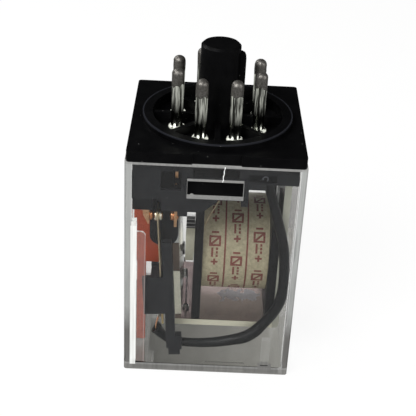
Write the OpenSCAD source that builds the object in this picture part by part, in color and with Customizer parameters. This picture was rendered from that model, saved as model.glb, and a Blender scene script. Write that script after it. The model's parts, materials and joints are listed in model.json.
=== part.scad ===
// Plug-in relay: two changeover poles, octal plug base, clear cover.
// +Z points out along the plug pins, the front (latch window) faces -Y, and the
// origin is on the guide post's axis at the base plate's outer face.
// It is drawn at rest: coil off, armature released, normally closed contacts shut.

/* [Cover] */
// Outside width and depth of the cover
cover_w = 34.5; // [34.4:0.1:35]
// Distance from the base plate's outer face to the cover's closed end
cover_bottom = 51.3; // [51:0.1:53]
// Thickness of the cover's side walls
cover_wall = 1.25; // [1.1:0.05:1.3]
// Width of the latch windows in the front and back walls
window_w = 10.7; // [10:0.1:11]

/* [Octal plug] */
// Thickness of the base plate
plate_t = 2.14; // [2:0.02:2.2]
// Diameter of the circle that the pins stand on
pin_circle = 17.45; // [17.45]
// Diameter of a pin
pin_d = 2.36; // [2.3:0.02:2.4]
// Height of the pin tips above the plate
pin_tip = 11.4; // [10:0.1:12]
// Diameter of the guide post
post_d = 7.8; // [7.6:0.05:7.9]
// Height of the guide post
post_h = 15.7; // [15:0.1:16.5]
// Height of the key on the guide post
key_h = 14; // [12:0.1:14.5]
// Outside diameter of the raised ring
ring_d = 30; // [29.5:0.1:30.5]

/* [Coil] */
// Depth of the coil's axis below the plate's outer face
coil_depth = 28.5; // [28.4:0.1:28.6]
// Diameter over the coil's tape
tape_d = 20.6; // [20:0.1:20.8]
// Thickness of the yoke and armature steel
steel_t = 1.35; // [1.3:0.05:1.4]

/* [Motion] */
// Angle through which the armature closes
travel = 3.4; // [3.2:0.1:3.5]
// Diameter over the sleeve of a flexible lead
lead_d = 2; // [1.8:0.1:2.1]

/* [Hidden] */
$fn = 64;
overlap = 0.01;            // joins two solids of one piece without a shared face
gap = 0.05;                // clearance between pieces that only pass each other

// Cover and base inside it
inner_half = cover_w / 2 - cover_wall;
body_half = inner_half - 0.1;
end_t = 1.3;
window_top = -5.5;
window_bottom = -9.1;
latch_proud = 0.3;         // how far the base's latches reach into the windows
latch_gap = 0.1;
pip_r = 0.42;
plate_w = cover_w - 0.5;
block_z = -5.2;            // underside of the base's full-width block
right_z = -6.1;            // underside of the base at the yoke
left_z = -10.3;            // underside of the base's left block
left_x = -10.2;            // right side of that block
step_z = -13.3;            // underside of the step that holds the closed contacts
step_x = -11.8;            // right side of that step
step_y = 14.9;             // half the step's depth
tongue_z = -12.8;          // underside of the tongue that holds the open contacts
tongue_y = -9.9;           // inner side of the tongue and of the barrier
barrier_z = -23.9;         // lowest point of the insulating barriers
seat_x = 13;               // left side of the seats for the yoke's top
seat_y = 11.6;             // half the seats' depth

// Plug
ring_h = 1.2;
ring_in = 26;
pocket_z = -1;
pin_r = pin_d / 2;
pin_bore = 0.8;            // radius of the socket in a pin's end
socket_z = 7.4;            // bottom of that socket
root_r = 0.95;             // a pin's root, inside the base
pin_angle = 22.5;
pin_root = -4.4;
pin_shoulder = pin_tip - 1; // where a pin ends and its solder dome starts

// Magnet
coil_z = -coil_depth;
flange_y = 11;
flange_h = 26.2;
left_flange = [-3.5, -1.75];
right_flange = [11.9, 13.65];
tube_r = 4.6;
shaft_r = 3.4;
tape_t = 0.65;
pole_face = -5.35;
pole_r = 4.95;
tenon_r = 2.2;
yoke_top = -42;
yoke_left = -6.9;
yoke_right = 15.1;

// Armature, drawn closed and then swung open about its lower left edge
pivot = [yoke_left - gap, 0, yoke_top + gap];
arm_right = pivot[0] + steel_t;
arm_top = -23;
arm_half = 9.4;
shim_r = 3;
shim_t = 0.15;
rivet_r = 0.9;
rivet_head_r = 1.5;
rivet_head_t = 0.4;
rivet_back = 1.75;         // thickness of the carrier under the rivets' rear heads
rivet_z = -35.5;
rivet_y = 6.5;

// Return spring
spring_foot = [-4.75, -7];
spring_wire = 0.18;
stud_r = 0.7;
stud_h = 0.6;
stud_floor = 0.2;          // bottom of the stud's socket, above the yoke

// Contacts
pole_y = 12.8;             // distance of each pole's contacts from the middle
leaf_w = 3.6;
leaf_t = 0.26;
leaf_x = -9.3;
leaf_root = -28.9;
contact_z = -15.35;
leaf_top = contact_z + 1.75;
contact_r = 1.2;
shank_r = 0.6;
left_head = 0.75;
right_head = 0.9;
nc_face = -11.79;
no_face = -8.6;
arm_t = 0.35;              // thickness of the closed contacts' arms
no_arm_t = 0.55;           // thickness of the open contacts' arms
end_r = 0.9;               // radius of the rivet end behind an open contact

// Indicator lever
lever_pivot = [-14.2, -9.15, -15.6];
lever_t = 0.9;
lever_bore = 0.8;
lever_pin = 0.75;
bracket_y = [-8.6, -6.8];  // sides of the bracket that carries the lever's pin

// Flexible leads: a straight, then arcs given as [turn in degrees, radius]
lead_y = 12.4;
lead_r = lead_d / 2;
lead_start = [9.5, -4.9];
lead_heading = -73.6;
lead_straight = 15.1;
lead_hole_r = lead_r + 0.15;
lead_bend_step = 9;        // most that one stretch of a lead turns from the next, in degrees
strand_r = 0.3;            // radius of a lead's bare end
lead_arcs = [[12, 24.6], [36, 29.7], [39.5, 8.1], [26.2, 26.2], [53.9, 6.9]];

// ---------- shapes used more than once ----------

// A box between two corners
module slab(low, high) {
    translate(low) cube(high - low);
}

// An upright block on a square with rounded corners
module rounded_block(w, r, z0, z1) {
    translate([0, 0, z0]) linear_extrude(z1 - z0) {
        square([w - 2 * r, w], center = true);
        square([w, w - 2 * r], center = true);
        for (x = [-1, 1], y = [-1, 1])
            translate([x * (w / 2 - r), y * (w / 2 - r)]) circle(r);
    }
}

// An outline in X and Z, extruded from y0 to y1
module profile(points, y0, y1) {
    translate([0, y1, 0]) rotate([90, 0, 0]) linear_extrude(y1 - y0) polygon(points);
}

// A rod along X, from x0 to x1
module rod_x(r, x0, x1, y = 0, z = 0) {
    translate([x0, y, z]) rotate([0, 90, 0]) cylinder(r = r, h = x1 - x0);
}

// A rod along Y, from y0 to y1
module rod_y(r, y0, y1, x = 0, z = 0) {
    translate([x, y1, z]) rotate([90, 0, 0]) cylinder(r = r, h = y1 - y0);
}

// A round-headed contact along X: back at x = 0, domed face at x = t
module dome_x(r, t) {
    rotate([0, 90, 0]) rotate_extrude()
        polygon([[0, 0], [r, 0], [r, t * 0.45], [r * 0.86, t * 0.75], [r * 0.55, t * 0.95],
            [r * 0.3, t], [0, t]]);
}

// Moves what follows with the armature, from closed to the released rest position
module released() {
    translate(pivot) rotate([0, -travel, 0]) translate(-pivot) children();
}

// Both poles: the rear one mirrors the front one
module pole(side) {
    if (side < 0) children();
    else mirror([0, 1, 0]) children();
}

// ---------- cover ----------

module cover_rib(x0, x1, y0, y1, z1) {
    slab([x0, y0, -cover_bottom + end_t - overlap], [x1, y1, z1]);
}

module cover() color([0.9, 0.93, 0.93, 0.35]) {
    floor_z = -cover_bottom + end_t;
    guide_x = -inner_half + 1.1;
    pad_x = -inner_half + 2.9;
    pad_top = -17.7;
    pad_r = 1;
    pad_proud = 0.45;
    recess_x = [-0.2, 8.2];    // moulded recess on the closed end
    recess_y = [-16, -14.2];
    recess_depth = 0.3;
    locator_x = [11.5, 13.2];  // locating rib in the right corner
    locator_top = -43;
    difference() {
        rounded_block(cover_w, 0.6, -cover_bottom, -plate_t);
        rounded_block(inner_half * 2, 0.3, floor_z, 0);
        for (y = [-1, 1])
            slab([-window_w / 2, y * cover_w / 2 - 2, window_bottom],
                [window_w / 2, y * cover_w / 2 + 2, window_top]);
        slab([recess_x[0], recess_y[0], -cover_bottom - 1],
            [recess_x[1], recess_y[1], -cover_bottom + recess_depth]);
    }
    for (side = [-1, 1]) pole(side) {
        // corner guides beside the indicator lever
        cover_rib(-inner_half - overlap, guide_x, -inner_half - overlap, -14.5, -15.4);
        cover_rib(guide_x - overlap, pad_x - pad_r, -inner_half - overlap, -inner_half + pad_proud, pad_top);
        cover_rib(pad_x - pad_r - overlap, pad_x, -inner_half - overlap, -inner_half + pad_proud,
            pad_top - pad_r);
        rod_y(pad_r, -inner_half - overlap, -inner_half + pad_proud, pad_x - pad_r, pad_top - pad_r);
        cover_rib(locator_x[0], locator_x[1], -inner_half - overlap, -inner_half + 1.1, locator_top);
        // pip on the window's sill
        rod_y(pip_r, -cover_w / 2, -body_half - latch_proud - latch_gap, -4.45, window_bottom);
    }
}

// ---------- base ----------

module pin_places() {
    for (i = [0:7]) rotate([0, 0, pin_angle + 45 * i]) translate([pin_circle / 2, 0, 0]) children();
}

module plug_face() {
    rib_w = 1.1;
    rib_top = 0.7;
    notch_x = [-4.6, 4.7];     // shallow notches in the front and back edges
    notch_depth = 0.35;
    difference() {
        union() {
            rounded_block(plate_w, 0.7, -plate_t, 0);
            translate([0, 0, -overlap]) cylinder(d = ring_d, h = ring_h + overlap, $fn = 128);
        }
        translate([0, 0, pocket_z]) cylinder(d = ring_in, h = ring_h - pocket_z + 1, $fn = 128);
        for (y = [-1, 1])
            slab([notch_x[0], y * plate_w / 2 - notch_depth, -plate_t - 1],
                [notch_x[1], y * plate_w / 2 + notch_depth, 1]);
    }
    for (a = [0:45:135])
        rotate([0, 0, a])
            slab([-ring_in / 2 - 0.2, -rib_w / 2, pocket_z - overlap], [ring_in / 2 + 0.2, rib_w / 2, rib_top]);
}

module guide_post() {
    r = post_d / 2;
    edge = 0.45;
    key_out = r + 1.05;
    key_half = 0.9;            // half the key's width
    rotate_extrude()
        polygon([[0, pocket_z - overlap], [r, pocket_z - overlap], [r, post_h - edge], [r - edge, post_h],
            [0, post_h]]);
    profile([[r - 1, pocket_z], [key_out, pocket_z], [key_out, key_h - 0.9], [key_out - 0.25, key_h - 0.3],
        [key_out - 0.8, key_h], [r - 1, key_h]], -key_half, key_half);
}

// What hangs inside the cover on one side of the middle
module base_side() {
    front = -body_half;
    skirt_t = 2;
    barrier_x = [-12.6, -6.9];
    barrier_y = [-10.7, tongue_y];
    barrier_r = 2.4;           // radius of the barrier's lower corners
    // skirt: its lower edge steps up from left to right, round a peg beside the latch
    profile([[-body_half, block_z + 1], [body_half, block_z + 1], [body_half, right_z], [9.6, right_z],
        [9.6, -7], [6.4, -7], [6.4, -11.1], [5.1, -11.1], [5.1, -9.9], [0.45, -9.9], [0.45, -10.3],
        [-2.3, tongue_z], [left_x, tongue_z], [left_x, left_z], [-body_half, left_z]], front, front + skirt_t);
    // latch in the cover's window
    slab([-window_w / 2 + latch_gap, front - latch_proud, window_bottom + latch_gap],
        [window_w / 2 - latch_gap, front + overlap, window_top - latch_gap]);
    // tongue behind the skirt, round the open contact's arm
    slab([-9.8, front + skirt_t - overlap, tongue_z], [-5.8, tongue_y, block_z + 1]);
    // insulating barrier between the contacts and the magnet
    difference() {
        slab([barrier_x[0], barrier_y[0], barrier_z], [barrier_x[1], barrier_y[1], block_z + 1]);
        for (i = [0, 1]) translate([barrier_x[i], 0, barrier_z])
            difference() {
                slab([-barrier_r, barrier_y[0] - 1, -1], [barrier_r, barrier_y[1] + 1, barrier_r]);
                rod_y(barrier_r, barrier_y[0] - 2, barrier_y[1] + 2, (1 - 2 * i) * barrier_r, barrier_r);
            }
    }
}

// Recesses in the front of the skirt, each as [x0, x1, z0, z1, depth]
skirt_recesses = [
    [-10.4, -6.5, -8.2, -4.1, 0.7],
    [-4.4, 4.5, -5.2, -3.2, 0.25],
    [6.3, 11.7, -5.75, -4.1, 0.25]];

module base() color([0.07, 0.07, 0.08]) difference() {
    terminal_slot_x = [-8, -6.8];
    terminal_slot_z = [-6.2, -4.1];
    terminal_hole = [-7.5, -7.3];
    union() {
        plug_face();
        guide_post();
        rounded_block(2 * body_half, 0.3, block_z, -plate_t + overlap);
        for (side = [-1, 1]) pole(side) base_side();
        // left block and the step under it
        slab([-body_half, -body_half, left_z], [left_x, body_half, block_z + overlap]);
        slab([-body_half, -step_y, step_z], [step_x, step_y, left_z + overlap]);
        // bracket for the indicator lever
        slab([lever_pivot[0] - 1.2, bracket_y[0], lever_pivot[2] - 1.3],
            [lever_pivot[0] + 1.2, bracket_y[1], step_z + overlap]);
        // seats for the top of the yoke
        slab([seat_x, -seat_y, right_z], [body_half, seat_y, block_z + overlap]);
    }
    pin_places() translate([0, 0, block_z - 1]) cylinder(r = root_r, h = pocket_z - block_z + 2);
    for (side = [-1, 1]) pole(side) {
        no_arm_shape();
        nc_arm_shape();
        for (r = skirt_recesses) slab([r[0], -body_half - 1, r[2]], [r[1], -body_half + r[4], r[3]]);
        // slot and hole through which the open contact's terminal shows
        slab([terminal_slot_x[0], -body_half - 1, terminal_slot_z[0]],
            [terminal_slot_x[1], -pole_y - leaf_w / 2 + overlap, terminal_slot_z[1]]);
        rod_y(0.3, -body_half - 1, -pole_y - leaf_w / 2 + overlap, terminal_hole[0], terminal_hole[1]);
        translate([lead_start[0], -lead_y, block_z - 2]) cylinder(r = lead_hole_r, h = 3);
        coil_terminal_shape();
    }
    indicator_pin();
    yoke();
}

// ---------- pins ----------

module contact_pin(number) color([0.72, 0.71, 0.68]) {
    collar_r = 1.62;
    collar_t = 0.5;
    rotate([0, 0, pin_angle + 45 * (number - 1)]) translate([pin_circle / 2, 0, 0]) rotate_extrude()
        polygon([[0, pin_root], [root_r, pin_root], [root_r, pocket_z], [collar_r, pocket_z],
            [collar_r, pocket_z + collar_t * 0.4], [pin_r, pocket_z + collar_t], [pin_r, pin_shoulder],
            [pin_bore, pin_shoulder], [pin_bore, socket_z], [0, socket_z]]);
}

module pin_1() contact_pin(1);
module pin_2() contact_pin(2);
module pin_3() contact_pin(3);
module pin_4() contact_pin(4);
module pin_5() contact_pin(5);
module pin_6() contact_pin(6);
module pin_7() contact_pin(7);
module pin_8() contact_pin(8);

// Solder that fills each pin's socket and stands up as a dome at its mouth
module pin_solder() color([0.5, 0.49, 0.46]) {
    dome_r = pin_r - 0.02;
    dome_h = pin_tip - pin_shoulder;
    pin_places() rotate_extrude()
        polygon([[0, socket_z], [pin_bore, socket_z], [pin_bore, pin_shoulder], [dome_r, pin_shoulder],
            [dome_r * 0.97, pin_shoulder + dome_h * 0.3], [dome_r * 0.86, pin_shoulder + dome_h * 0.65],
            [dome_r * 0.55, pin_shoulder + dome_h * 0.92], [0, pin_tip]]);
}

// ---------- magnet ----------

module yoke() color([0.72, 0.69, 0.6]) {
    bottom = yoke_top - steel_t;
    inside = yoke_right - steel_t;
    tab_y = 6;
    tab_half = 1.8;
    bend_r = 1;
    difference() {
        union() {
            slab([yoke_left, -flange_y, bottom], [yoke_right - bend_r, flange_y, yoke_top]);
            slab([inside, -flange_y, bottom + bend_r], [yoke_right, flange_y, right_z]);
            // rounded outer corner of the bend
            intersection() {
                rod_y(bend_r, -flange_y, flange_y, yoke_right - bend_r, bottom + bend_r);
                slab([yoke_right - bend_r - overlap, -flange_y, bottom],
                    [yoke_right, flange_y, bottom + bend_r + overlap]);
            }
            // tabs that enter the base
            for (y = [-tab_y, tab_y])
                slab([inside, y - tab_half, right_z - overlap], [yoke_right, y + tab_half, block_z + 1.4]);
        }
        rod_x(tenon_r, inside - 1, yoke_right + 1, 0, coil_z);
    }
}

module bobbin() color([0.1, 0.1, 0.11]) {
    difference() {
        union() {
            rod_x(tube_r, left_flange[1] - overlap, right_flange[0] + overlap, 0, coil_z);
            for (f = [left_flange, right_flange])
                slab([f[0], -flange_y, coil_z - flange_h / 2], [f[1], flange_y, coil_z + flange_h / 2]);
        }
        rod_x(shaft_r + gap, left_flange[0] - 1, right_flange[1] + 1, 0, coil_z);
        // terminal slots in the right flange
        for (side = [-1, 1]) pole(side) coil_terminal_shape();
    }
}

module coil_winding() color([0.7, 0.35, 0.15]) difference() {
    rod_x(tape_d / 2 - tape_t, left_flange[1] + gap, right_flange[0] - gap, 0, coil_z);
    rod_x(tube_r, left_flange[0], right_flange[1], 0, coil_z);
}

module coil_tape() color([0.72, 0.68, 0.52]) difference() {
    rod_x(tape_d / 2, left_flange[1] + gap, right_flange[0] - gap, 0, coil_z);
    rod_x(tape_d / 2 - tape_t, left_flange[0], right_flange[1], 0, coil_z);
}

module core() color([0.75, 0.72, 0.62]) {
    head = left_flange[0] - gap;
    rod_x(pole_r, pole_face, head, 0, coil_z);
    rod_x(shaft_r, head - overlap, yoke_right - steel_t, 0, coil_z);
    rod_x(tenon_r, yoke_right - steel_t - overlap, yoke_right + overlap, 0, coil_z);
    rod_x(tenon_r + 0.8, yoke_right, yoke_right + 0.5, 0, coil_z);
}

// Brass strip from the base down to the bobbin's right flange, with a foot for the wire
module coil_terminal_shape() {
    strip_x = [12.3, 12.8];
    strip_y = [-10.4, -8.6];
    strip_bottom = -19;
    foot_z = [-9.6, -9.1];
    slab([strip_x[0], strip_y[0], strip_bottom], [strip_x[1], strip_y[1], block_z + 1.2]);
    slab([strip_x[1] - overlap, strip_y[0], foot_z[0]], [strip_x[1] + 0.8, strip_y[1], foot_z[1]]);
}

module coil_terminals() color([0.8, 0.62, 0.35]) {
    for (side = [-1, 1]) pole(side) coil_terminal_shape();
}

// Enamelled wires from the coil's left end up to the base
module coil_leads() color([0.55, 0.4, 0.25]) {
    enamelled_r = 0.13;
    low = [-1.6, -10.8, -19.2];
    high = [1.2, -13.7, -7.3];
    reach = high - low;
    lean = atan2(norm([reach[0], reach[1]]), reach[2]);
    for (side = [-1, 1]) pole(side)
        translate(low) rotate([0, 0, atan2(reach[1], reach[0])]) rotate([0, lean, 0])
            cylinder(r = enamelled_r, h = norm(reach));
}

// ---------- armature and what rides on it ----------

module armature() color([0.75, 0.72, 0.6]) released() difference() {
    corner = 0.8;
    slab([pivot[0], -arm_half, pivot[2]], [arm_right, arm_half, arm_top]);
    for (y = [-1, 1]) {
        rod_x(rivet_r, pivot[0] - 1, arm_right + 1, y * rivet_y, rivet_z);
        // clipped top corners
        translate([pivot[0] - 1, y * arm_half, arm_top]) rotate([45, 0, 0])
            translate([0, -corner, -corner]) cube([steel_t + 2, 2 * corner, 2 * corner]);
    }
}

// Thin non-magnetic plate that keeps the armature off the pole face
module residual_shim() color([0.78, 0.6, 0.35]) released()
    rod_x(shim_r, arm_right, arm_right + shim_t, 0, coil_z);

module carrier_rivets() color([0.8, 0.65, 0.4]) released()
    for (y = [-1, 1])
        translate([pivot[0] - rivet_back, y * rivet_y, rivet_z]) rotate([0, 90, 0]) rotate_extrude()
            polygon([[0, -rivet_head_t], [rivet_head_r, -rivet_head_t], [rivet_head_r, 0], [rivet_r, 0],
                [rivet_r, rivet_back + steel_t], [rivet_head_r, rivet_back + steel_t],
                [rivet_head_r, rivet_back + steel_t + rivet_head_t], [0, rivet_back + steel_t + rivet_head_t]]);

// Slots for the spring's root and the common tab in one end block
module carrier_slots() {
    root_play = 0.06;
    slab([leaf_x - leaf_t / 2 - root_play, -pole_y - leaf_w / 2 - root_play, leaf_root - 1.1],
        [leaf_x + leaf_t / 2 + root_play, -pole_y + leaf_w / 2 + root_play, leaf_root + 1]);
    common_tab_shape();
}

module contact_carrier() color([0.12, 0.12, 0.13]) released() {
    back = pivot[0] - rivet_back;
    bottom = -37.9;
    front = -14.9;
    front_t = 1;               // thickness of the end blocks' front plates
    front_x = -13;
    block_x = -11.3;
    centre_x = -11.5;
    centre_y = 8.9;
    bar = [-15, -13.5];        // the front upright bar, in Y
    bar_top = -20.6;
    bar_foot = -46.7;
    difference() {
        union() {
            slab([back, -13, bottom], [pivot[0], 13, leaf_root]);
            slab([centre_x, -centre_y, bottom], [back + overlap, centre_y, leaf_root - 0.5]);
            for (side = [-1, 1]) pole(side) {
                // end block round the root of the moving spring, with a wider front plate
                slab([block_x, front, bottom], [back + overlap, -10.9, leaf_root]);
                slab([front_x, front, bottom], [block_x + overlap, front + front_t, leaf_root]);
                // upright bar, with a peg and a small toe at its foot
                slab([back, bar[0], bar_foot], [-6.8, bar[1], bar_top]);
                slab([back - overlap, bar[1] - overlap, bottom], [pivot[0], -11, leaf_root]);
                slab([-8.3, bar[0], bar_foot - 1.7], [-5.9, bar[1], bar_foot + 0.2]);
                slab([-6.9, bar[0], bar_foot - 0.3], [-5.5, bar[1], bar_foot + 3.2]);
            }
        }
        for (side = [-1, 1]) pole(side) carrier_slots();
        // holes for the rivets, and pockets for their heads
        for (y = [-1, 1]) {
            rod_x(rivet_r, front_x, pivot[0] + 1, y * rivet_y, rivet_z);
            rod_x(rivet_head_r + 0.1, front_x, back, y * rivet_y, rivet_z);
        }
    }
}

module common_tab_shape() slab([leaf_x - 0.2, -pole_y - 1.3, -41], [leaf_x + 0.15, -pole_y + 1.3, -33]);
module common_tab_front() color([0.8, 0.65, 0.4]) released() common_tab_shape();
module common_tab_rear() color([0.8, 0.65, 0.4]) released() mirror([0, 1, 0]) common_tab_shape();

module moving_spring_shape() difference() {
    slab([leaf_x - leaf_t / 2, -pole_y - leaf_w / 2, leaf_root - 1],
        [leaf_x + leaf_t / 2, -pole_y + leaf_w / 2, leaf_top]);
    rod_x(shank_r, leaf_x - 1, leaf_x + 1, -pole_y, contact_z);
}
module moving_spring_front() color([0.78, 0.68, 0.45]) released() moving_spring_shape();
module moving_spring_rear() color([0.78, 0.68, 0.45]) released() mirror([0, 1, 0]) moving_spring_shape();

module moving_contact_shape() translate([leaf_x, -pole_y, contact_z]) {
    rod_x(shank_r, -leaf_t / 2 - overlap, leaf_t / 2 + overlap);
    translate([leaf_t / 2, 0, 0]) dome_x(contact_r, right_head);
    mirror([1, 0, 0]) translate([leaf_t / 2, 0, 0]) dome_x(contact_r, left_head);
}
module moving_contact_front() color([0.85, 0.82, 0.7]) released() moving_contact_shape();
module moving_contact_rear() color([0.85, 0.82, 0.7]) released() mirror([0, 1, 0]) moving_contact_shape();

// Stud on the yoke, with a socket that holds the foot of the return spring
module spring_stud() color([0.7, 0.7, 0.68]) translate([spring_foot[0], spring_foot[1], yoke_top])
    difference() {
        cylinder(r = stud_r, h = stud_h);
        translate([0, 0, stud_floor]) cylinder(r = spring_wire + 0.06, h = stud_h);
    }

// Wire spring that stands in the stud and leans on the armature
module return_spring() color([0.6, 0.6, 0.58]) translate([spring_foot[0], spring_foot[1], 0]) {
    hook_r = 0.5;
    top = -32.3;
    tail = 1.1;
    short = 0.02;
    spare = short / hook_r * 180 / PI;
    foot = yoke_top + 0.3;
    translate([0, 0, foot]) cylinder(r = spring_wire, h = top - foot - short);
    // hook, with a ball over each end of its bend
    translate([-hook_r, 0, top]) rotate([90, 0, 0]) rotate([0, 0, spare])
        rotate_extrude(angle = 180 - 2 * spare) translate([hook_r, 0]) circle(spring_wire);
    for (x = [0, -2 * hook_r]) translate([x, 0, top]) sphere(spring_wire + 0.01);
    translate([-2 * hook_r, 0, top - tail]) cylinder(r = spring_wire, h = tail - short);
}

// ---------- fixed contacts ----------

module nc_arm_shape() {
    root_z = step_z + 3.5;
    back = nc_face - left_head - arm_t;
    slab([back, -pole_y - leaf_w / 2, contact_z - 1.25], [back + arm_t, -pole_y + leaf_w / 2, root_z]);
    // stiffening web along the front edge
    web = 0.9;
    profile([[back - web, root_z], [back - web, contact_z + 0.8], [back + overlap, contact_z - 1],
        [back + overlap, root_z]], -pole_y - leaf_w / 2, -pole_y - leaf_w / 2 + 0.4);
}
module nc_arm() color([0.8, 0.5, 0.3]) difference() {
    nc_arm_shape();
    rod_x(shank_r, nc_face - 2, nc_face, -pole_y, contact_z);
}
module nc_arm_front() nc_arm();
module nc_arm_rear() mirror([0, 1, 0]) nc_arm();

module nc_contact() color([0.85, 0.6, 0.4]) translate([nc_face - left_head, -pole_y, contact_z]) {
    rod_x(shank_r, -arm_t, overlap);
    dome_x(contact_r, left_head);
}
module nc_contact_front() nc_contact();
module nc_contact_rear() mirror([0, 1, 0]) nc_contact();

module no_arm_shape() {
    front = no_face + right_head;
    slab([front, -pole_y - leaf_w / 2, contact_z - 1.75],
        [front + no_arm_t, -pole_y + leaf_w / 2, block_z + 0.6]);
}
module no_arm() color([0.8, 0.5, 0.3]) difference() {
    no_arm_shape();
    rod_x(shank_r, no_face, no_face + 2, -pole_y, contact_z);
}
module no_arm_front() no_arm();
module no_arm_rear() mirror([0, 1, 0]) no_arm();

module no_contact() color([0.85, 0.6, 0.4]) translate([no_face + right_head, -pole_y, contact_z]) {
    rod_x(shank_r, -overlap, no_arm_t + overlap);
    mirror([1, 0, 0]) dome_x(contact_r, right_head);
    translate([no_arm_t, 0, 0]) dome_x(end_r, 0.4);
}
module no_contact_front() no_contact();
module no_contact_rear() mirror([0, 1, 0]) no_contact();

// ---------- flexible leads ----------

// Heading and place at the start of arc i, in the X-Z plane
function heading(i) = i == 0 ? lead_heading : heading(i - 1) - lead_arcs[i - 1][0];
function place(i) = i == 0
    ? lead_start + lead_straight * [cos(lead_heading), sin(lead_heading)]
    : along_arc(i - 1, lead_arcs[i - 1][0]);

// Point on arc i, once it has turned through an angle
function along_arc(i, turned) = place(i) + lead_arcs[i][1]
    * [sin(heading(i)) - sin(heading(i) - turned), cos(heading(i) - turned) - cos(heading(i))];

// Stations along a lead, each as [x, z, heading]
function steps(i) = ceil(lead_arcs[i][0] / lead_bend_step);
last_arc = len(lead_arcs);
mouth = place(last_arc);
mouth_heading = heading(last_arc);
lead_stations = [
    [lead_start[0], lead_start[1], lead_heading],
    for (i = [0:last_arc - 1], k = [0:steps(i) - 1])
        let (turned = lead_arcs[i][0] * k / steps(i), at = along_arc(i, turned))
            [at[0], at[1], heading(i) - turned],
    [mouth[0], mouth[1], mouth_heading]];

// A round tube or wire through stations
module swept(stations, r) {
    sides = 16;
    last = len(stations) - 1;
    ring = [for (k = [0:sides - 1]) r * [cos(360 * k / sides), sin(360 * k / sides)]];
    points = [for (at = stations, p = ring) [at[0] - p[1] * sin(at[2]), p[0], at[1] + p[1] * cos(at[2])]];
    wall = [for (i = [0:last - 1], k = [0:sides - 1])
        let (next = (k + 1) % sides)
            [i * sides + k, (i + 1) * sides + k, (i + 1) * sides + next, i * sides + next]];
    start = [for (k = [0:sides - 1]) k];
    end = [for (k = [sides - 1:-1:0]) last * sides + k];
    polyhedron(points, concat([start, end], wall));
}

module lead_sleeve() color([0.08, 0.08, 0.09]) translate([0, -lead_y, 0]) swept(lead_stations, lead_r);
module lead_sleeve_front() lead_sleeve();
module lead_sleeve_rear() mirror([0, 1, 0]) lead_sleeve();

// Bare end of the lead: out of the sleeve's mouth, then towards the common tab
module lead_end() color([0.8, 0.5, 0.3]) translate([0, -lead_y, 0]) {
    elbow = mouth + 0.6 * [cos(mouth_heading), sin(mouth_heading)];
    tip = [leaf_x - 0.75, leaf_root - 12.3];
    run = tip - elbow;
    slope = atan2(run[1], run[0]);
    bend = (slope + mouth_heading + 360) / 2;
    swept([[mouth[0], mouth[1], mouth_heading + 360], [elbow[0], elbow[1], bend], [tip[0], tip[1], slope]],
        strand_r);
}
module lead_end_front() lead_end();
module lead_end_rear() mirror([0, 1, 0]) lead_end();

// ---------- operation indicator ----------

module indicator_pin() color([0.6, 0.6, 0.58])
    rod_y(lever_pin, lever_pivot[1] - lever_t / 2 - 0.3, bracket_y[1] - 0.4, lever_pivot[0], lever_pivot[2]);

module indicator() color([0.75, 0.25, 0.12]) {
    x = lever_pivot[0];
    y = lever_pivot[1];
    top_z = -13.6;
    toe_z = -28.75;
    tail_z = -48.6;
    tail = 0.9;                // half the tail's width
    difference() {
        profile([[x - 1.6, top_z], [x + 1.2, top_z], [x + 1.9, -18], [x + 3.6, toe_z + 2], [x + 3.6, toe_z],
            [x + tail, toe_z], [x + tail, tail_z], [x - tail, tail_z], [x - tail, toe_z], [x - 1.6, toe_z + 2]],
            y - lever_t / 2, y + lever_t / 2);
        rod_y(lever_bore, y - 2, y + 2, x, lever_pivot[2]);
    }
}

base();
cover();
pin_1();
pin_2();
pin_3();
pin_4();
pin_5();
pin_6();
pin_7();
pin_8();
pin_solder();
yoke();
bobbin();
coil_winding();
coil_tape();
core();
coil_terminals();
coil_leads();
armature();
residual_shim();
contact_carrier();
carrier_rivets();
return_spring();
spring_stud();
moving_spring_front();
moving_spring_rear();
moving_contact_front();
moving_contact_rear();
common_tab_front();
common_tab_rear();
nc_arm_front();
nc_arm_rear();
nc_contact_front();
nc_contact_rear();
no_arm_front();
no_arm_rear();
no_contact_front();
no_contact_rear();
lead_sleeve_front();
lead_sleeve_rear();
lead_end_front();
lead_end_rear();
indicator();
indicator_pin();
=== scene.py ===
import json
import math
import random

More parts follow.
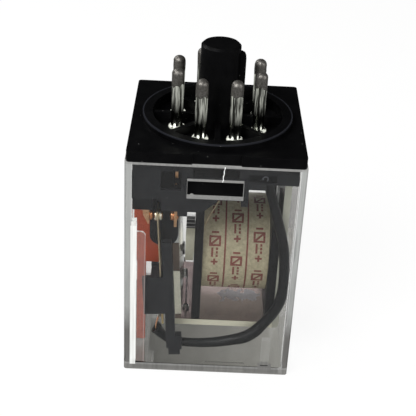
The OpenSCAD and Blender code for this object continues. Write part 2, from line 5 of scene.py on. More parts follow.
import bmesh
import bpy
from mathutils import Matrix, Vector, noise
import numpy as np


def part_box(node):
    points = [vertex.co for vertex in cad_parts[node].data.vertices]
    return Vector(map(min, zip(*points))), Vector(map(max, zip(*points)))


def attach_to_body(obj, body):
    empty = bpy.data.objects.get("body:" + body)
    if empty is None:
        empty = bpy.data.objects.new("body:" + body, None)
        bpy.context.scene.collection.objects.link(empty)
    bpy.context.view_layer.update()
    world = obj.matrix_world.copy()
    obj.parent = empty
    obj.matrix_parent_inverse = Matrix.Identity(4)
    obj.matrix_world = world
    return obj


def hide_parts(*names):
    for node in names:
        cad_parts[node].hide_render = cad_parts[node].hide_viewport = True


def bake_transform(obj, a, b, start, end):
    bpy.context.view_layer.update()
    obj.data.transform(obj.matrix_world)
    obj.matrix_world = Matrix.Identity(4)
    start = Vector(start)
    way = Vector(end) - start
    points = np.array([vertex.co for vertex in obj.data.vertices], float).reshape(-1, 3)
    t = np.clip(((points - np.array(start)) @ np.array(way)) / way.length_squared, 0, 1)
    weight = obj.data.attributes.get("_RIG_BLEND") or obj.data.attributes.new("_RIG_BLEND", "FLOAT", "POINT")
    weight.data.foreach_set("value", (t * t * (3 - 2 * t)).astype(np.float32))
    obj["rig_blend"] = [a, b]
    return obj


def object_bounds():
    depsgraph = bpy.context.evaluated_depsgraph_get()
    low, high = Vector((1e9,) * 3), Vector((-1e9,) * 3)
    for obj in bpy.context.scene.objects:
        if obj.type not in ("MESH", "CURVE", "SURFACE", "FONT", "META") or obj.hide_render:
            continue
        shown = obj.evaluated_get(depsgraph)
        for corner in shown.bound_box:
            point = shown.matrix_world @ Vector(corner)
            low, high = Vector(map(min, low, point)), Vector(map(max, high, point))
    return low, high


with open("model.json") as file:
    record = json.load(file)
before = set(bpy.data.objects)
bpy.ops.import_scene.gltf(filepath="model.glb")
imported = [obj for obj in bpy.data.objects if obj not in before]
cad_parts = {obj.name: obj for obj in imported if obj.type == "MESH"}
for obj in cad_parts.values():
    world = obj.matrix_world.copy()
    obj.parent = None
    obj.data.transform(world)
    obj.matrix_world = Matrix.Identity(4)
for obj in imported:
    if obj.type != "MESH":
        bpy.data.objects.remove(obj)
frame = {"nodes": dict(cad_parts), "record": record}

CAD_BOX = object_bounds()
MM = 0.001
FAR = 100  # beyond every part of the relay
BLACK = (0, 0, 0)
RECORD = frame["record"]
MOUNTS = {m["name"]: m for m in RECORD["mounts"]}
NODE = frame["nodes"]
SIDES = {"front": -1, "rear": 1}  # sign of Y
JOINTS = {j["name"]: j for j in RECORD["behaviour"]["joints"]}
TRAVEL = math.radians(JOINTS["armature_hinge"]["range_deg"][1])
CLOSED_END = min(c[2] for c in CAD_BOX) / MM  # height of the cover's closed end, which stands on the floor


def box_mm(node):
    """Lowest and highest corner of a CAD node."""
    low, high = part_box(node)
    return low / MM, high / MM


def middle(node):
    low, high = box_mm(node)
    return (low + high) / 2


# -------- mesh helpers

def new_object(name, verts, faces, material, smooth=True):
    """A mesh object from its corners."""
    mesh = bpy.data.meshes.new(name)
    mesh.from_pydata([Vector(v) * MM for v in verts], [], faces)
    work = bmesh.new()
    work.from_mesh(mesh)
    bmesh.ops.remove_doubles(work, verts=work.verts, dist=1e-7)
    bmesh.ops.recalc_face_normals(work, faces=work.faces)
    work.to_mesh(mesh)
    work.free()
    for polygon in mesh.polygons:
        polygon.use_smooth = smooth
    obj = bpy.data.objects.new(name, mesh)
    bpy.context.scene.collection.objects.link(obj)
    obj.data.materials.append(material)
    return obj


def attach(obj, node=None, body="housing"):
    """Puts a piece on its body, in place of a CAD node if it stands for one."""
    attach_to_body(obj, body)
    if node:
        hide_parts(node)


def add_bevel(obj, width):
    """Rounds the sharp edges and keeps the flat faces flat."""
    mod = obj.modifiers.new("edge", "BEVEL")
    mod.width = width * MM
    mod.segments = 2
    mod.limit_method = "ANGLE"
    mod.angle_limit = math.radians(35)
    mod.harden_normals = True


def smooth_by_angle(obj, degrees=30):
    """Shades curved faces smooth and leaves edges sharper than the angle."""
    obj.data.polygons.foreach_set("use_smooth", [True] * len(obj.data.polygons))
    limit = math.radians(degrees)
    work = bmesh.new()
    work.from_mesh(obj.data)
    sharp = [len(e.link_faces) != 2 or e.calc_face_angle(0) > limit for e in work.edges]
    work.free()
    attributes = obj.data.attributes
    marks = attributes.get("sharp_edge") or attributes.new("sharp_edge", "BOOLEAN", "EDGE")
    marks.data.foreach_set("value", sharp)


def circle(count):
    """Angles of points spaced evenly round a circle."""
    return [2 * math.pi * k / count for k in range(count)]


def ring_faces(rings, per_ring, closed_ring=True):
    """Quads between rings of corners laid one after another."""
    faces = []
    for r in range(rings - 1):
        for s in range(per_ring if closed_ring else per_ring - 1):
            a = r * per_ring + s
            b = r * per_ring + (s + 1) % per_ring
            faces.append((a, b, b + per_ring, a + per_ring))
    return faces


def band_faces(first, second, count):
    """Quads between two closed rings that start at the given corners."""
    return [(first + k, first + (k + 1) % count, second + (k + 1) % count, second + k) for k in range(count)]


def lathe(profile, segments):
    """Corners and faces of an outline [(radius, height)] turned round Z. Radius 0 closes it on a point."""
    verts = [Vector((radius * math.cos(a), radius * math.sin(a), height))
             for radius, height in profile for a in circle(segments)]
    return verts, ring_faces(len(profile), segments)


def sweep(path, radius, segments, cap=True):
    """Corners and faces of a round tube along points. radius is a number, or a function of the share of the
    points passed."""
    radius_at = radius if callable(radius) else lambda t: radius
    verts = []
    side = None
    last = len(path) - 1
    for i, point in enumerate(path):
        heading = (path[min(i + 1, last)] - path[max(i - 1, 0)]).normalized()
        if side is None:
            side = heading.cross(Vector((0, 1, 0)))
            if side.length < 0.1:
                side = heading.cross(Vector((1, 0, 0)))
        side = (side - heading * side.dot(heading)).normalized()
        other = heading.cross(side)
        r = radius_at(i / last)
        verts += [point + side * (r * math.cos(a)) + other * (r * math.sin(a)) for a in circle(segments)]
    faces = ring_faces(len(path), segments)
    if cap:
        faces.append(tuple(range(segments)))
        faces.append(tuple(range(last * segments, (last + 1) * segments)))
    return verts, faces


def bead(centre, radii, first, last, lumps, grain, seed, segments, rings):
    """Corners and faces of a lumpy ball between two angles from its top, given in radians."""
    verts = []
    for i in range(rings + 1):
        b = first + (last - first) * i / rings
        for a in circle(segments):
            around = Vector((math.sin(b) * math.cos(a), math.sin(b) * math.sin(a), math.cos(b)))
            out = around * Vector(radii)
            verts.append(centre + out * (1 + lumps * noise.noise(out * grain + Vector(seed))))
    return verts, ring_faces(rings + 1, segments)


def joined(parts):
    """One list of corners and faces from several."""
    verts, faces = [], []
    for v, f in parts:
        start = len(verts)
        verts += v
        faces += [tuple(i + start for i in face) for face in f]
    return verts, faces


def moved(part, matrix):
    verts, faces = part
    return [matrix @ Vector(v) for v in verts], faces


# -------- material helpers

def feed(tree, socket, value):
    """Links another node's output to a socket, or sets the socket's value."""
    if hasattr(value, "is_output"):
        tree.links.new(value, socket)
    elif socket.type == "RGBA" and len(value) == 3:
        socket.default_value = (*value, 1)
    else:
        socket.default_value = value


def add_node(tree, kind, inputs=None, **settings):
    """A new shader node with its settings, and its inputs given by name or by place."""
    node = tree.nodes.new("ShaderNode" + kind)
    for key, value in settings.items():
        setattr(node, key, value)
    for key, value in (inputs or {}).items():
        feed(tree, node.inputs[key], value)
    return node


class Shader:
    """A node material with short calls for what the materials share. Masks are 1 inside and 0 outside."""

    def __init__(self, name, **values):
        self.material = bpy.data.materials.new(name)
        self.material.use_nodes = True
        self.tree = self.material.node_tree
        self.bsdf = self.tree.nodes["Principled BSDF"]
        self.set(**values)
        place = self.node("TexCoord").outputs["Object"]
        self.mm = self.node("VectorMath", {0: place, "Scale": 1 / MM}, operation="SCALE").outputs[0]
        self.x, self.y, self.z = self.node("SeparateXYZ", {0: self.mm}).outputs

    def node(self, kind, inputs=None, **settings):
        return add_node(self.tree, kind, inputs, **settings)

    def set(self, **values):
        """Sets inputs of the surface, with _ for the spaces in their names."""
        for key, value in values.items():
            feed(self.tree, self.bsdf.inputs[key.replace("_", " ")], value)

    def stretched(self, factors):
        return self.node("VectorMath", {0: self.mm, 1: factors}, operation="MULTIPLY").outputs[0]

    def noise(self, scale, detail=4, rough=0.55, vector=None):
        inputs = {"Vector": vector or self.mm, "Scale": scale, "Detail": detail, "Roughness": rough}
        return self.node("TexNoise", inputs).outputs["Fac"]

    def specks(self, scale, size):
        """Small round dots."""
        cells = self.node("TexVoronoi", {"Vector": self.mm, "Scale": scale})
        return self.map(cells.outputs["Distance"], size, size * 0.5, 0, 1)

    def map(self, value, low, high, to_low, to_high):
        inputs = {"Value": value, "From Min": low, "From Max": high, "To Min": to_low, "To Max": to_high}
        return self.node("MapRange", inputs).outputs["Result"]

    def math(self, operation, a, b=0.0):
        return self.node("Math", {0: a, 1: b}, operation=operation).outputs[0]

    def times(self, a, b):
        return self.math("MULTIPLY", a, b)

    def plus(self, a, b):
        return self.math("ADD", a, b)

    def size(self, value):
        return self.math("ABSOLUTE", value)

    def above(self, value, limit):
        return self.math("GREATER_THAN", value, limit)

    def below(self, value, limit):
        return self.math("LESS_THAN", value, limit)

    def inside(self, value, low, high):
        return self.times(self.above(value, low), self.below(value, high))

    def all_of(self, *masks):
        whole = masks[0]
        for mask in masks[1:]:
            whole = self.times(whole, mask)
        return whole

    def any_of(self, *masks):
        """The largest of several values or masks."""
        whole = masks[0]
        for mask in masks[1:]:
            whole = self.math("MAXIMUM", whole, mask)
        return whole

    def mix(self, factor, a, b):
        """A blend of two colours."""
        return self.node("Mix", {0: factor, 6: a, 7: b}, data_type="RGBA").outputs[2]

    def blend(self, value, low, high, a, b):
        """Colour a where a value is low, through to colour b where it is high."""
        return self.mix(self.map(value, low, high, 0, 1), a, b)

    def glow(self, colour):
        return self.node("Emission", {"Color": colour}).outputs[0]

    def over(self, factor, lower, upper):
        """One shader laid over another."""
        return self.node("MixShader", {0: factor, 1: lower, 2: upper}).outputs[0]

    def finish(self, surface):
        feed(self.tree, self.tree.nodes["Material Output"].inputs["Surface"], surface)
        return self.material

    def edge_wear(self, radius=0.12):
        """1 on rounded-off edges and 0 on flat faces."""
        rounded = self.node("Bevel", {"Radius": radius * MM}, samples=4).outputs["Normal"]
        flat = self.node("NewGeometry").outputs["Normal"]
        likeness = self.node("VectorMath", {0: rounded, 1: flat}, operation="DOT_PRODUCT").outputs["Value"]
        return self.map(likeness, 0.985, 0.86, 0, 1)

    def bump(self, height, distance, strength):
        """Bumps on top of the ones that the surface has already."""
        normal = self.bsdf.inputs["Normal"]
        inputs = {"Height": height, "Distance": distance * MM, "Strength": strength}
        if normal.links:
            inputs["Normal"] = normal.links[0].from_socket
        feed(self.tree, normal, self.node("Bump", inputs).outputs["Normal"])

    def coated(self, base, rough, height, distance, strength, **values):
        """The finished material, from its colour, roughness and bumps."""
        self.set(Base_Color=base, Roughness=rough, **values)
        self.bump(height, distance, strength)
        return self.material


def darker(colour):
    return tuple(c * 0.6 for c in colour)


# -------- base and mouldings

PLATE_BOTTOM = -2.2        # the cover encloses the base below this
LATCH_X = (-5.4, 5.4)
LATCH_Z = (-9.15, -5.45)
LATCH_FACE = 15.95         # the latches stand out beyond this
RING_EDGE = (14.72, 15.2)  # radii of the raised ring's outer edge
RING_TOP = 0.9
SKIRT_DEPTH = 13           # the skirt's walls lie beyond this
# the skirt's recesses: range in X, range in Z, share of shade
RECESSES = (
    ((-10.4, -6.5), (-8.2, -4.1), 0.9),
    ((6.3, 11.7), (-5.75, -4.1), 0.9),
    ((-4.4, 4.5), (-5.2, -3.2), 0.9),
    ((-16.1, -11.8), (-13.4, -10.3), 0.45),
)


def moulded_black(name, tone, rough, dust, covered_tone=None, recesses=()):
    """Satin black moulding with fine grain, greyer edges and a little dust. covered_tone is for the base,
    painted greyer inside the cover as a veil of light over it, and recesses are the shaded places of its
    front and back, painted dark."""
    s = Shader(name)
    cloud = s.noise(0.35, 3)
    grain = s.noise(9, 3)

    def clouded(level):
        dark = (level * 0.8, level * 0.8, level * 0.95)
        light = (level * 1.3, level * 1.3, level * 1.45)
        return s.blend(cloud, 0.3, 0.7, dark, light)

    base = clouded(tone)
    if covered_tone:
        latch = s.all_of(s.inside(s.x, *LATCH_X), s.inside(s.z, *LATCH_Z), s.above(s.size(s.y), LATCH_FACE))
        # painted veil of light: the base is painted greyer where the cover lies over it
        covered = s.math("SUBTRACT", s.below(s.z, PLATE_BOTTOM), latch)
        base = s.mix(covered, base, clouded(covered_tone))
        # the raised ring's outer rim is made a little lighter
        squares = s.plus(s.times(s.x, s.x), s.times(s.y, s.y))
        ring_rim = s.all_of(s.above(s.z, RING_TOP), s.inside(s.math("SQRT", squares), *RING_EDGE))
        base = s.mix(ring_rim, base, (0.02, 0.021, 0.026))
    worn = s.times(s.edge_wear(), s.map(s.noise(1.6), 0.4, 0.65, 0.1, 0.55))
    base = s.mix(worn, base, (tone * 4, tone * 4, tone * 4.3))
    if dust:
        base = s.mix(s.times(s.specks(0.55, 0.045), dust), base, (0.5, 0.5, 0.48))
    shine = 0.1
    if recesses:
        shades = [s.times(s.times(s.inside(s.x, *x), s.inside(s.z, *z)), share) for x, z, share in recesses]
        shade = s.times(s.any_of(*shades), s.above(s.size(s.y), SKIRT_DEPTH))
        base = s.mix(shade, base, (0.0008, 0.0008, 0.001))
        shine = s.map(shade, 0, 1, shine, 0.02)
    return s.coated(base, s.map(cloud, 0.3, 0.7, rough - 0.07, rough + 0.09), grain, 0.006, 0.5,
                    Specular_IOR_Level=shine)


# -------- cover

def clear_cover():
    """Clear plastic with painted shade in its closed end, deeper on the left. Its cut edges and corner guides
    catch the light, painted as a glow.
    """
    wall_inside, wall_middle, corner = 16.02, 16.4, 14.45
    end_top = CLOSED_END + 1.3  # inner face of the closed end
    s = Shader("clear_cover", Transmission_Weight=1.0, IOR=1.5)
    deep = s.size(s.y)
    side_wall = s.above(s.size(s.x), wall_inside)
    outer_skin = s.above(s.any_of(deep, s.size(s.x)), wall_middle)
    lowness = s.map(s.z, CLOSED_END + 16, CLOSED_END + 10, 0, 1)
    end_wall = s.map(s.z, end_top + 0.3, end_top - 0.1, 0, 1)
    tint = s.mix(side_wall, (0.965, 0.968, 0.96), (0.93, 0.93, 0.92))
    # painted shade: the floor under the cover, seen through the closed end, darker on the left
    end_shade = s.mix(s.map(s.x, -16, 16, 0, 1), (0.72, 0.71, 0.69), (0.86, 0.86, 0.83))
    scuffs = s.noise(1.2, 6, 0.7, s.stretched((1, 1, 0.25)))
    s.set(Base_Color=s.mix(end_wall, tint, end_shade), Roughness=s.map(scuffs, 0.45, 0.8, 0.0, 0.08))
    s.bump(s.noise(0.12, 2), 0.02, 0.5)
    # soft light and shadow pass straight through
    clear = s.node("BsdfTransparent", {"Color": (0.93, 0.95, 0.945)})
    path = s.node("LightPath").outputs
    soft = s.any_of(path["Is Shadow Ray"], path["Is Diffuse Ray"])
    look = s.over(soft, s.bsdf.outputs[0], clear.outputs[0])
    streaks = s.map(s.noise(0.9, 5, 0.6, s.stretched((2.5, 2.5, 0.12))), 0.3, 0.7, 0.82, 1.12)

    def block(x, y, z):
        """Mask of a block at the front and the back, given by ranges."""
        return s.all_of(s.inside(s.x, *x), s.inside(deep, *y), s.inside(s.z, *z))

    pad_edge = s.above(s.x, -13.3)
    # mask, share and colour of the painted glow of what catches the light
    lit_parts = (
        # ends of the side walls, seen in the front and back faces
        (s.all_of(side_wall, s.above(deep, wall_middle)), 0.72,
         s.mix(lowness, (0.42, 0.43, 0.42), (0.13, 0.125, 0.12))),
        # edge of the closed end, and the line above it
        (s.all_of(s.below(s.z, end_top - 0.02), outer_skin), 0.8, (0.235, 0.233, 0.222)),
        (s.all_of(s.inside(s.z, end_top - 0.02, end_top + 0.48), outer_skin), 0.85, (0.3, 0.3, 0.29)),
        # rim under the plug plate, and the cut faces of the latch windows
        (s.all_of(s.above(s.z, -2.5), s.above(deep, 16)), 0.85, (0.36, 0.36, 0.35)),
        (block(LATCH_X, (15.9, FAR), (-9.3, -5.4)), 0.8, (0.34, 0.34, 0.33)),
        # guide ribs in the left corners, white from the light inside them, and the thin pads beside them
        (block((-16.01, -14.86), (corner, FAR), (end_top, -15.9)), 0.85, (0.95, 0.96, 0.93)),
        (block((-14.86, -13.08), (15.5, 15.98), (end_top, -17.65)), s.map(pad_edge, 0, 1, 0.2, 0.5),
         (0.5, 0.42, 0.4)),
        # locating ribs in the right corners, and their feet
        (block((11.45, 13.25), (14.85, 16.01), (end_top - 0.4, -42.95)), 0.3, (0.42, 0.42, 0.4)),
        (block((11, 13.8), (14.8, FAR), (end_top - 0.4, end_top + 0.9)), 0.85, (0.2, 0.198, 0.19)),
    )
    for where, share, colour in lit_parts:
        streaked = s.node("VectorMath", {0: colour, "Scale": streaks}, operation="SCALE")
        look = s.over(s.times(where, share), look, s.glow(streaked.outputs[0]))
    # light that has bounced many times inside a wall ends as a painted even grey glow
    trapped = s.above(path["Ray Depth"], 6.5)
    look = s.over(trapped, look, s.glow(s.mix(lowness, (0.4, 0.41, 0.4), (0.2, 0.2, 0.19))))
    return s.finish(look)


# -------- metals

def metal(name, dark, light, rough, grain=(6, 6, 1.2), wear=None):
    """Metal with brushed grain and uneven tarnish. wear is the colour of its edges."""
    s = Shader(name, Metallic=1.0)
    streaks = s.noise(2.2, 5, 0.6, s.stretched(grain))
    patches = s.noise(0.45, 4, 0.6)
    base = s.blend(patches, 0.35, 0.68, dark, light)
    base = s.mix(s.map(streaks, 0.35, 0.7, 0, 0.175), base, darker(dark))
    if wear:
        base = s.mix(s.times(s.edge_wear(0.1), 0.7), base, wear)
    return s.coated(base, s.map(streaks, 0.3, 0.75, rough - 0.08, rough + 0.14), streaks, 0.004, 0.7)


def nickel():
    """Dull nickel plating with painted reflections streaked dark and light along the pin, and painted glints
    on the collar at its foot.
    """
    collar_z = (-1.02, -0.42)
    s = Shader("nickel", Metallic=1.0)
    streaks = s.noise(1.3, 4, 0.6, s.stretched((1.6, 1.6, 0.1)))
    fine = s.noise(5, 4, 0.6, s.stretched((1, 1, 0.15)))
    # painted reflections: near black to bright streaks along the pin
    base = s.blend(streaks, 0.42, 0.6, (0.07, 0.075, 0.06), (0.72, 0.74, 0.66))
    base = s.mix(s.map(fine, 0.45, 0.7, 0, 0.5), base, (0.2, 0.2, 0.17))
    glint = s.times(s.inside(s.z, *collar_z), s.map(s.noise(0.9, 3, 0.6), 0.42, 0.5, 0, 0.75))
    # painted sheen of light from all round, which fades towards the dark plug face
    sheen = s.times(s.map(s.z, 2.4, 5.4, 0, 0.34), s.map(streaks, 0.46, 0.57, 0.04, 1))
    return s.coated(base, s.map(fine, 0.3, 0.7, 0.1, 0.26), streaks, 0.03, 0.5,
                    Emission_Color=(0.93, 0.95, 0.84), Emission_Strength=s.any_of(glint, sheen))


def steel(name, dark, light, rough, lit_faces, glow, haze=None):
    """Plated steel that reflects the dark inside of the relay. lit_faces are (mask, colour), painted light
    and shade for what faces the light instead, or lies in shade: a mask is a function of the shader, and glow
    is how much painted light such a face adds. haze is (mask, colour), for painted light that the other faces
    scatter."""
    s = Shader(name)
    streaks = s.noise(2.2, 5, 0.6, s.stretched((5, 0.8, 5)))
    patches = s.noise(0.45, 4, 0.6)
    base = s.blend(patches, 0.35, 0.68, dark, light)
    base = s.mix(s.map(streaks, 0.35, 0.7, 0, 0.25), base, darker(dark))
    matt = 0.0
    for mask, colour in lit_faces:
        where = mask(s)
        mottled = s.mix(s.map(s.noise(3, 5, 0.65), 0.35, 0.7, 0, 0.45), colour, darker(colour))
        base = s.mix(where, base, mottled)
        matt = s.math("MAXIMUM", matt, where)
    scatter = s.mix(haze[0](s), BLACK, haze[1]) if haze else BLACK
    emitted = s.mix(matt, scatter, s.mix(glow, BLACK, base))
    return s.coated(base, s.map(streaks, 0.3, 0.75, rough - 0.05, rough + 0.1), streaks, 0.002, 0.5,
                    Metallic=s.map(matt, 0, 1, 1, 0.15), Emission_Color=emitted, Emission_Strength=1.0)


def region(**ranges):
    """Mask of what lies between limits, such as x=(low, high)."""
    return lambda s: s.all_of(*(s.inside(getattr(s, axis), *limits) for axis, limits in ranges.items()))


def seen_height(s):
    """How high a point looks from 30 degrees above."""
    return s.plus(s.times(s.z, 0.866), s.times(s.y, 0.5))


def shoe_top(low, high):
    """A band across the top of the pole shoe, by seen height, which mirrors the dark base above it."""
    return lambda s: s.all_of(s.below(s.x, -3), s.inside(seen_height(s), low, high))


def shoe_stripe(s):
    """Narrow light lines in that reflection."""
    spacing, first, share = 0.76, -24.68, 0.3
    step = s.math("FRACT", s.math("DIVIDE", s.plus(seen_height(s), -first), spacing))
    return s.all_of(shoe_top(-22.6, -20.1)(s), s.below(step, share))


def bright_gap(s):
    """The part of the air gap, by seen height, that mirrors the bright room: all but a dark band."""
    height = seen_height(s)
    return s.any_of(s.above(height, -26.16), s.inside(height, -31, -28.9))


def armature_inner(s):
    """The same on the armature's face towards the pole, without its front edge."""
    return s.times(bright_gap(s), s.above(s.y, ARMATURE_EDGE))


def yoke_floor(s):
    """The yoke's upper face under the coil, for a painted haze of light that grows towards the middle."""
    face = region(x=(-1.75, FAR), z=(-42.2, -41.6))(s)
    return s.times(face, s.map(s.y, -9, -4, 0.55, 1))


def yoke_patch(s):
    """An uneven bright reflection on the yoke, under the middle of the coil."""
    wobble = s.map(s.noise(0.55, 3, 0.5), 0.3, 0.7, -1.5, 1.5)
    along = s.inside(s.plus(s.x, wobble), 3.2, 10.6)
    across = s.inside(s.plus(s.y, s.times(wobble, 0.8)), -3.3, 0.4)
    return s.times(s.all_of(along, across, s.below(s.z, -41)), 0.8)


def solder():
    """Dull, lumpy solder."""
    s = Shader("solder", Metallic=0.9)
    lumps = s.noise(2.6, 6, 0.7)
    fine = s.noise(11, 4, 0.6)
    base = s.blend(lumps, 0.35, 0.65, (0.16, 0.15, 0.135), (0.36, 0.345, 0.32))
    base = s.mix(s.times(s.specks(2.2, 0.08), 0.6), base, (0.8, 0.78, 0.74))
    s.bump(lumps, 0.05, 0.7)
    return s.coated(base, s.map(fine, 0.3, 0.7, 0.34, 0.62), fine, 0.03, 0.6)


def enamelled_wire():
    """Copper wire laid side by side, for the winding under the tape."""
    s = Shader("enamelled_wire", Metallic=0.8)
    turns = s.node("TexWave", {"Vector": s.mm, "Scale": 2.4, "Distortion": 0.4}).outputs["Fac"]
    base = s.mix(turns, (0.22, 0.07, 0.025), (0.6, 0.26, 0.1))
    return s.coated(base, s.map(s.noise(3), 0.3, 0.7, 0.25, 0.45), turns, 0.05, 0.8)


# -------- tape, sleeves, flag and floor

def tape():
    """Cream electrical tape: fibrous, mottled, slightly glossy, with a painted glow that lifts its shaded top
    and bottom.
    """
    s = Shader("tape", Specular_IOR_Level=0.35)
    mottle = s.noise(1.4, 6, 0.7)
    fibres = s.noise(5, 5, 0.6, s.stretched((0.5, 3, 3)))
    base = s.blend(mottle, 0.35, 0.68, (0.23, 0.194, 0.123), (0.365, 0.32, 0.218))
    base = s.mix(s.map(fibres, 0.5, 0.75, 0, 0.35), base, (0.19, 0.165, 0.115))
    return s.coated(base, s.map(mottle, 0.3, 0.7, 0.42, 0.62), fibres, 0.02, 0.5,
                    Emission_Color=base, Emission_Strength=0.13)


def ink():
    """Dark red printing, worn thin in places."""
    s = Shader("tape_ink", Specular_IOR_Level=0.3)
    worn = s.noise(4, 5, 0.7)
    base = s.blend(worn, 0.4, 0.75, (0.13, 0.028, 0.022), (0.235, 0.075, 0.06))
    return s.coated(base, s.map(worn, 0.3, 0.7, 0.45, 0.65), worn, 0.006, 0.4)


def sleeving():
    """Black insulating sleeve: satin, uneven, with small pale specks."""
    s = Shader("sleeving", Specular_IOR_Level=0.14)
    cloud = s.noise(0.7, 4)
    grain = s.noise(7, 4)
    base = s.blend(cloud, 0.3, 0.7, (0.003, 0.0033, 0.0037), (0.007, 0.0075, 0.0085))
    base = s.mix(s.times(s.specks(0.9, 0.05), 0.5), base, (0.4, 0.4, 0.38))
    return s.coated(base, s.map(grain, 0.3, 0.7, 0.28, 0.5), grain, 0.02, 0.5)


def flag_plastic():
    """Orange-red plastic that lets light through."""
    s = Shader("flag_plastic", IOR=1.46, Transmission_Weight=0.35, Subsurface_Weight=0.3,
               Subsurface_Scale=2 * MM)
    cloud = s.noise(0.5, 4)
    base = s.blend(cloud, 0.3, 0.7, (0.34, 0.036, 0.006), (0.48, 0.07, 0.014))
    return s.coated(base, s.map(s.noise(5, 3), 0.3, 0.7, 0.22, 0.4), cloud, 0.02, 0.4)


def split_white():
    """The whitened plastic of a crack."""
    s = Shader("split_white")
    return s.coated((0.85, 0.86, 0.86), s.map(s.noise(6), 0.3, 0.7, 0.3, 0.6), s.noise(8), 0.01, 0.4)


def pale_floor():
    """A pale sweep: near white to the camera, greyer in reflections, shaded under the cover and beside it."""
    foot = 17.3  # half the width of the shade under the cover
    s = Shader("pale_floor", Roughness=0.8, Specular_IOR_Level=0.1)
    path = s.node("LightPath").outputs
    s.set(Base_Color=s.mix(path["Is Glossy Ray"], (0.85, 0.85, 0.84), (0.112, 0.112, 0.113)))
    look = s.over(s.times(path["Is Camera Ray"], 0.85), s.bsdf.outputs[0], s.glow((1.04, 1.04, 1.04)))
    # what is seen through the cover: painted shade under it and beside it, with painted mottled reflections
    # in the shade
    outward = s.any_of(s.size(s.x), s.size(s.y))
    rightness = s.map(s.x, -15, 15, 0, 1)
    shade = s.mix(rightness, (0.125, 0.124, 0.115), (0.34, 0.335, 0.315))
    mottled_reflections = s.map(s.noise(0.22, 4, 0.6, s.stretched((1, 0.45, 1))), 0.35, 0.65, 0, 0.3)
    shade = s.mix(mottled_reflections, shade, s.mix(rightness, (0.26, 0.258, 0.245), (0.5, 0.495, 0.47)))
    open_floor = s.mix(s.below(s.y, -foot), (0.95, 0.95, 0.94), (0.56, 0.56, 0.56))
    beside = s.mix(s.map(outward, foot, foot + 4, 0.35, 1), (0.3, 0.3, 0.29), open_floor)
    through = s.mix(s.below(outward, foot), beside, shade)
    look = s.over(s.times(path["Is Transmission Ray"], 0.85), look, s.glow(through))
    return s.finish(look)


# -------- all materials

YOKE_EDGE = -10.93     # the yoke's front edge lies before this
ARMATURE_EDGE = -9.33  # the armature's front edge lies before this
# painted light on the steel: faces painted lit with their glow, painted reflections and highlights on the
# pole shoe, and the armature's front edge painted in shade above and lit below
yoke_faces = (
    (region(y=(-FAR, YOKE_EDGE)), (0.62, 0.58, 0.46)),
    (region(x=(13.7, FAR), y=(-FAR, YOKE_EDGE)), (0.42, 0.41, 0.35)),
    (yoke_patch, (0.5, 0.5, 0.55)),
)
core_faces = (
    (region(x=(-FAR, -3)), (0.62, 0.6, 0.47)),
    (shoe_top(-22.6, -19), (0.008, 0.008, 0.009)),
    (shoe_stripe, (0.3, 0.3, 0.29)),
    (shoe_top(-20.1, -19), (0.95, 0.95, 0.93)),
)
armature_faces = (
    (armature_inner, (0.8, 0.8, 0.77)),
    # the armature's front edge, painted in shade, and painted lit below it
    (region(y=(-FAR, ARMATURE_EDGE)), (0.12, 0.085, 0.065)),
    (region(y=(-FAR, ARMATURE_EDGE), z=(-FAR, -31)), (0.85, 0.81, 0.67)),
)
M = {
    "base": moulded_black("base_black", 0.0024, 0.4, 0.5, 0.0125, RECESSES),
    # grey for the painted glint of light on the small moulded arcs
    "arc": moulded_black("arc_grey", 0.09, 0.3, 0),
    "moulding": moulded_black("moulding_black", 0.004, 0.42, 0.2),
    # the carriers' grey is a painted veil of light over black plastic seen through the cover
    "carrier": moulded_black("carrier_black", 0.014, 0.42, 0.2),
    "cover": clear_cover(),
    "nickel": nickel(),
    "solder": solder(),
    "yoke": steel("yoke_steel", (0.185, 0.135, 0.135), (0.31, 0.245, 0.24), 0.2, yoke_faces, 0.04,
                  (yoke_floor, (0.11, 0.094, 0.084))),
    "core": steel("core_steel", (0.4, 0.38, 0.31), (0.6, 0.58, 0.5), 0.3, core_faces, 0.27),
    "armature": steel("armature_steel", (0.3, 0.27, 0.24), (0.5, 0.47, 0.42), 0.25, armature_faces, 0.08),
    "shim": steel("shim_steel", (0.02, 0.02, 0.02), (0.06, 0.06, 0.06), 0.4,
                  ((bright_gap, (0.8, 0.8, 0.77)),), 0.5),
    "bright_wire": metal("bright_wire", (0.4, 0.4, 0.39), (0.7, 0.7, 0.68), 0.25),
    "copper": metal("copper", (0.55, 0.23, 0.1), (0.86, 0.47, 0.26), 0.27, (4, 4, 1)),
    "enamel": metal("dark_enamel", (0.4, 0.3, 0.19), (0.75, 0.62, 0.42), 0.45),
    "bronze": metal("bronze", (0.5, 0.27, 0.13), (0.8, 0.5, 0.3), 0.3, (5, 5, 0.8)),
    "leaf": metal("spring_leaf", (0.42, 0.33, 0.2), (0.66, 0.56, 0.38), 0.33, (5, 5, 0.6), (0.8, 0.74, 0.58)),
    "brass": metal("brass", (0.5, 0.36, 0.16), (0.78, 0.62, 0.34), 0.3),
    "dark_steel": metal("dark_steel", (0.2, 0.2, 0.2), (0.45, 0.45, 0.44), 0.35),
    "silver": metal("contact_silver", (0.55, 0.5, 0.38), (0.86, 0.82, 0.7), 0.2, (6, 6, 6)),
    "wire": enamelled_wire(),
    "tape": tape(),
    "ink": ink(),
    "sleeve": sleeving(),
    "flag": flag_plastic(),
    "split": split_white(),
    "floor": pale_floor(),
}

